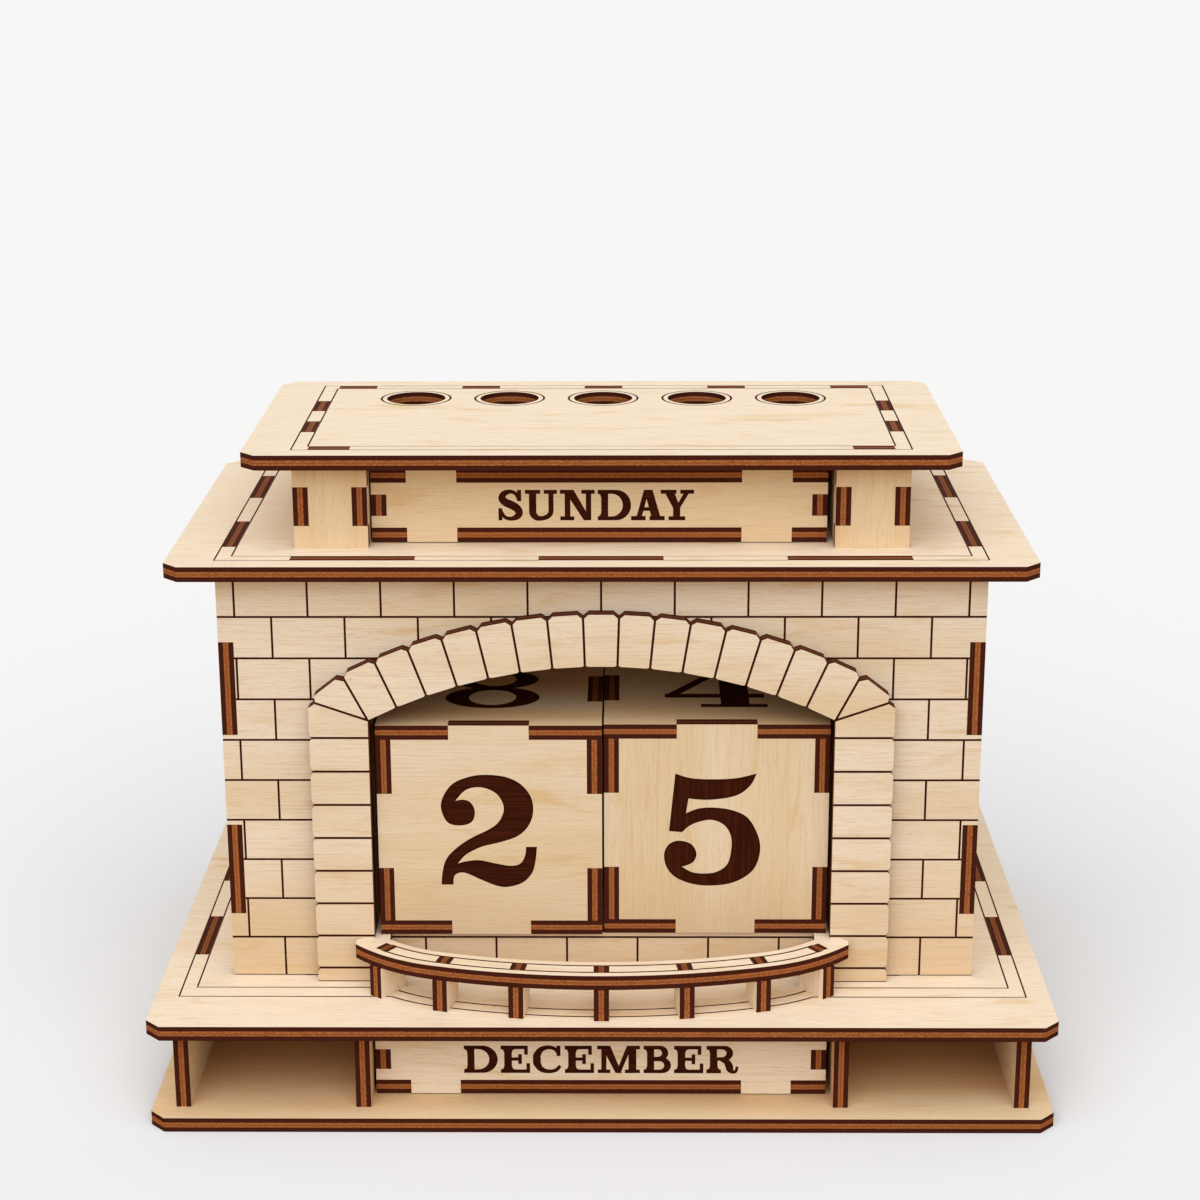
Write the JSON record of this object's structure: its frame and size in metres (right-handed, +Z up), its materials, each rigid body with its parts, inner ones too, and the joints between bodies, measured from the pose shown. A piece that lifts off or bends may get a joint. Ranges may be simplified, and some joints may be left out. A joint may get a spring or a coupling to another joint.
{
  "type": "perpetual desk calendar",
  "caption": "Plywood perpetual calendar shaped like a fireplace, with day cubes, month and weekday blocks, cubbies and a pen holder on top.",
  "frame": {"origin": "middle of the base's underside, on the table", "axes": "+X to the right seen from the front, +Y to the back, +Z up"},
  "size_m": [0.18, 0.1244, 0.1315],
  "materials": {
    "birch_plywood": "bare, laser-cut edges burnt brown"
  },
  "bodies": {
    "cabinet": {"arch_trim": "birch_plywood", "back_wall": "birch_plywood", "bottom_plate": "birch_plywood", "cubby_back_left": "birch_plywood", "cubby_back_right": "birch_plywood", "fender_posts": "birch_plywood", "fire_back": "birch_plywood", "fire_cheek_left": "birch_plywood", "fire_cheek_right": "birch_plywood", "front_panel": "birch_plywood", "hearth_plate": "birch_plywood", "inner_upright_left": "birch_plywood", "inner_upright_right": "birch_plywood", "mantel_plate": "birch_plywood", "outer_upright_left": "birch_plywood", "outer_upright_right": "birch_plywood", "partition_left": "birch_plywood", "partition_right": "birch_plywood", "pen_plate": "birch_plywood", "shelf_and_fender": "birch_plywood", "side_wall_left": "birch_plywood", "side_wall_right": "birch_plywood", "small_front_left": "birch_plywood", "small_front_right": "birch_plywood", "top_back_wall": "birch_plywood", "top_side_left": "birch_plywood", "top_side_right": "birch_plywood", "well_divider": "birch_plywood"},
    "day_cube_left": {"left_cube_back": "birch_plywood", "left_cube_bottom": "birch_plywood", "left_cube_front": "birch_plywood", "left_cube_left": "birch_plywood", "left_cube_right": "birch_plywood", "left_cube_top": "birch_plywood"},
    "day_cube_right": {"right_cube_back": "birch_plywood", "right_cube_bottom": "birch_plywood", "right_cube_front": "birch_plywood", "right_cube_left": "birch_plywood", "right_cube_right": "birch_plywood", "right_cube_top": "birch_plywood"},
    "front_month_block": {"month_block_back": "birch_plywood", "month_block_bottom": "birch_plywood", "month_block_front": "birch_plywood", "month_block_left_end": "birch_plywood", "month_block_right_end": "birch_plywood", "month_block_top": "birch_plywood"},
    "front_weekday_block": {"weekday_block_back": "birch_plywood", "weekday_block_bottom": "birch_plywood", "weekday_block_front": "birch_plywood", "weekday_block_left_end": "birch_plywood", "weekday_block_right_end": "birch_plywood", "weekday_block_top": "birch_plywood"},
    "month_spare_middle": {"spare_month_block_1": "birch_plywood"},
    "month_spare_rear": {"spare_month_block_2": "birch_plywood"},
    "weekday_spare": {"spare_weekday_block": "birch_plywood"}
  },
  "joints": [
    {"name": "left_cube_slide", "type": "slide", "parent": "cabinet", "child": "day_cube_left", "axis": [0, -1, 0], "range_m": [0, 0.05]},
    {"name": "right_cube_slide", "type": "slide", "parent": "cabinet", "child": "day_cube_right", "axis": [0, -1, 0], "range_m": [0, 0.05]},
    {"name": "weekday_block_slide", "type": "slide", "parent": "cabinet", "child": "front_weekday_block", "axis": [0, -1, 0], "range_m": [0, 0.032]},
    {"name": "spare_weekday_slide", "type": "slide", "parent": "cabinet", "child": "weekday_spare", "axis": [0, -1, 0], "range_m": [0, 0.032]},
    {"name": "month_block_slide", "type": "slide", "parent": "cabinet", "child": "front_month_block", "axis": [0, -1, 0], "range_m": [0, 0.03]},
    {"name": "spare_month_rear_slide", "type": "slide", "parent": "cabinet", "child": "month_spare_rear", "axis": [0, 1, 0], "range_m": [0, 0.085]},
    {"name": "spare_month_middle_slide", "type": "slide", "parent": "cabinet", "child": "month_spare_middle", "axis": [0, 1, 0], "range_m": [0, 0.085]}
  ],
  "couplings": [
    {"joint": "spare_weekday_slide", "follows": "weekday_block_slide", "ratio": 1},
    {"joint": "spare_month_middle_slide", "follows": "spare_month_rear_slide", "ratio": 1}
  ]
}
